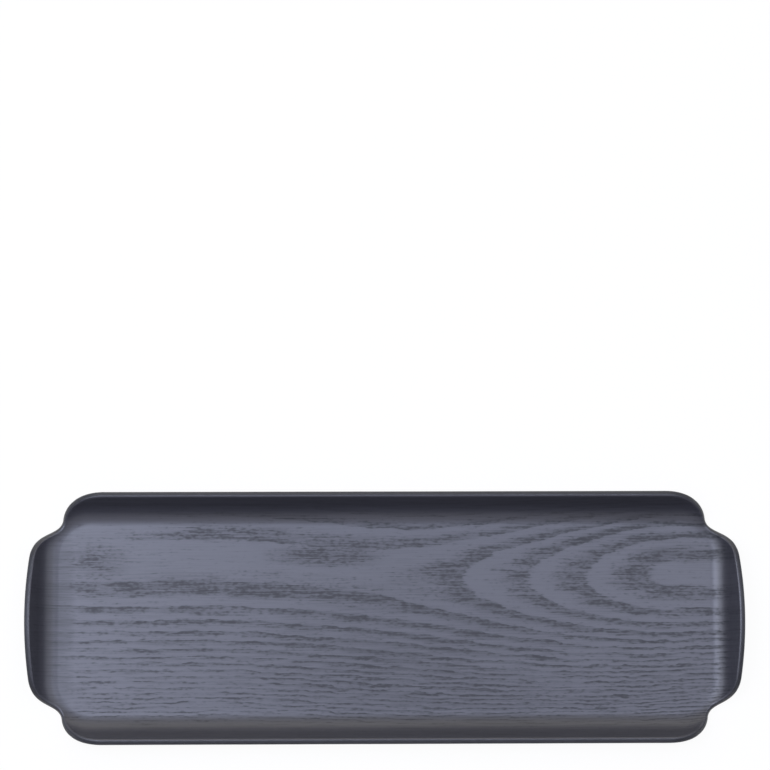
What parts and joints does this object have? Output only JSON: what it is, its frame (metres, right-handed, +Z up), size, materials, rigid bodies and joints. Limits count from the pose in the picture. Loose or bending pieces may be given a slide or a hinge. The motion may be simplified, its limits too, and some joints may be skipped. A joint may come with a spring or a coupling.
{
  "type": "serving board",
  "caption": "Long form-pressed plywood serving board with a flat floor, low flared walls, rounded rims and notched corners, stained near black.",
  "frame": {"origin": "middle of the underside, on the surface that the board rests on", "axes": "+X along the board, +Y across it, +Z up out of the tray"},
  "size_m": [0.44, 0.154, 0.021],
  "materials": {
    "stained_face": "near-black blue-grey stain under satin lacquer, open grain",
    "inner_ply": "veneer edge, stained and sealed",
    "stained_back": "near-black blue-grey stain under satin lacquer, straight grain"
  },
  "bodies": {
    "root": {"face_veneer": "stained_face", "upper_crossband": "inner_ply", "core_veneer": "inner_ply", "lower_crossband": "inner_ply", "back_veneer": "stained_back"}
  },
  "joints": []
}
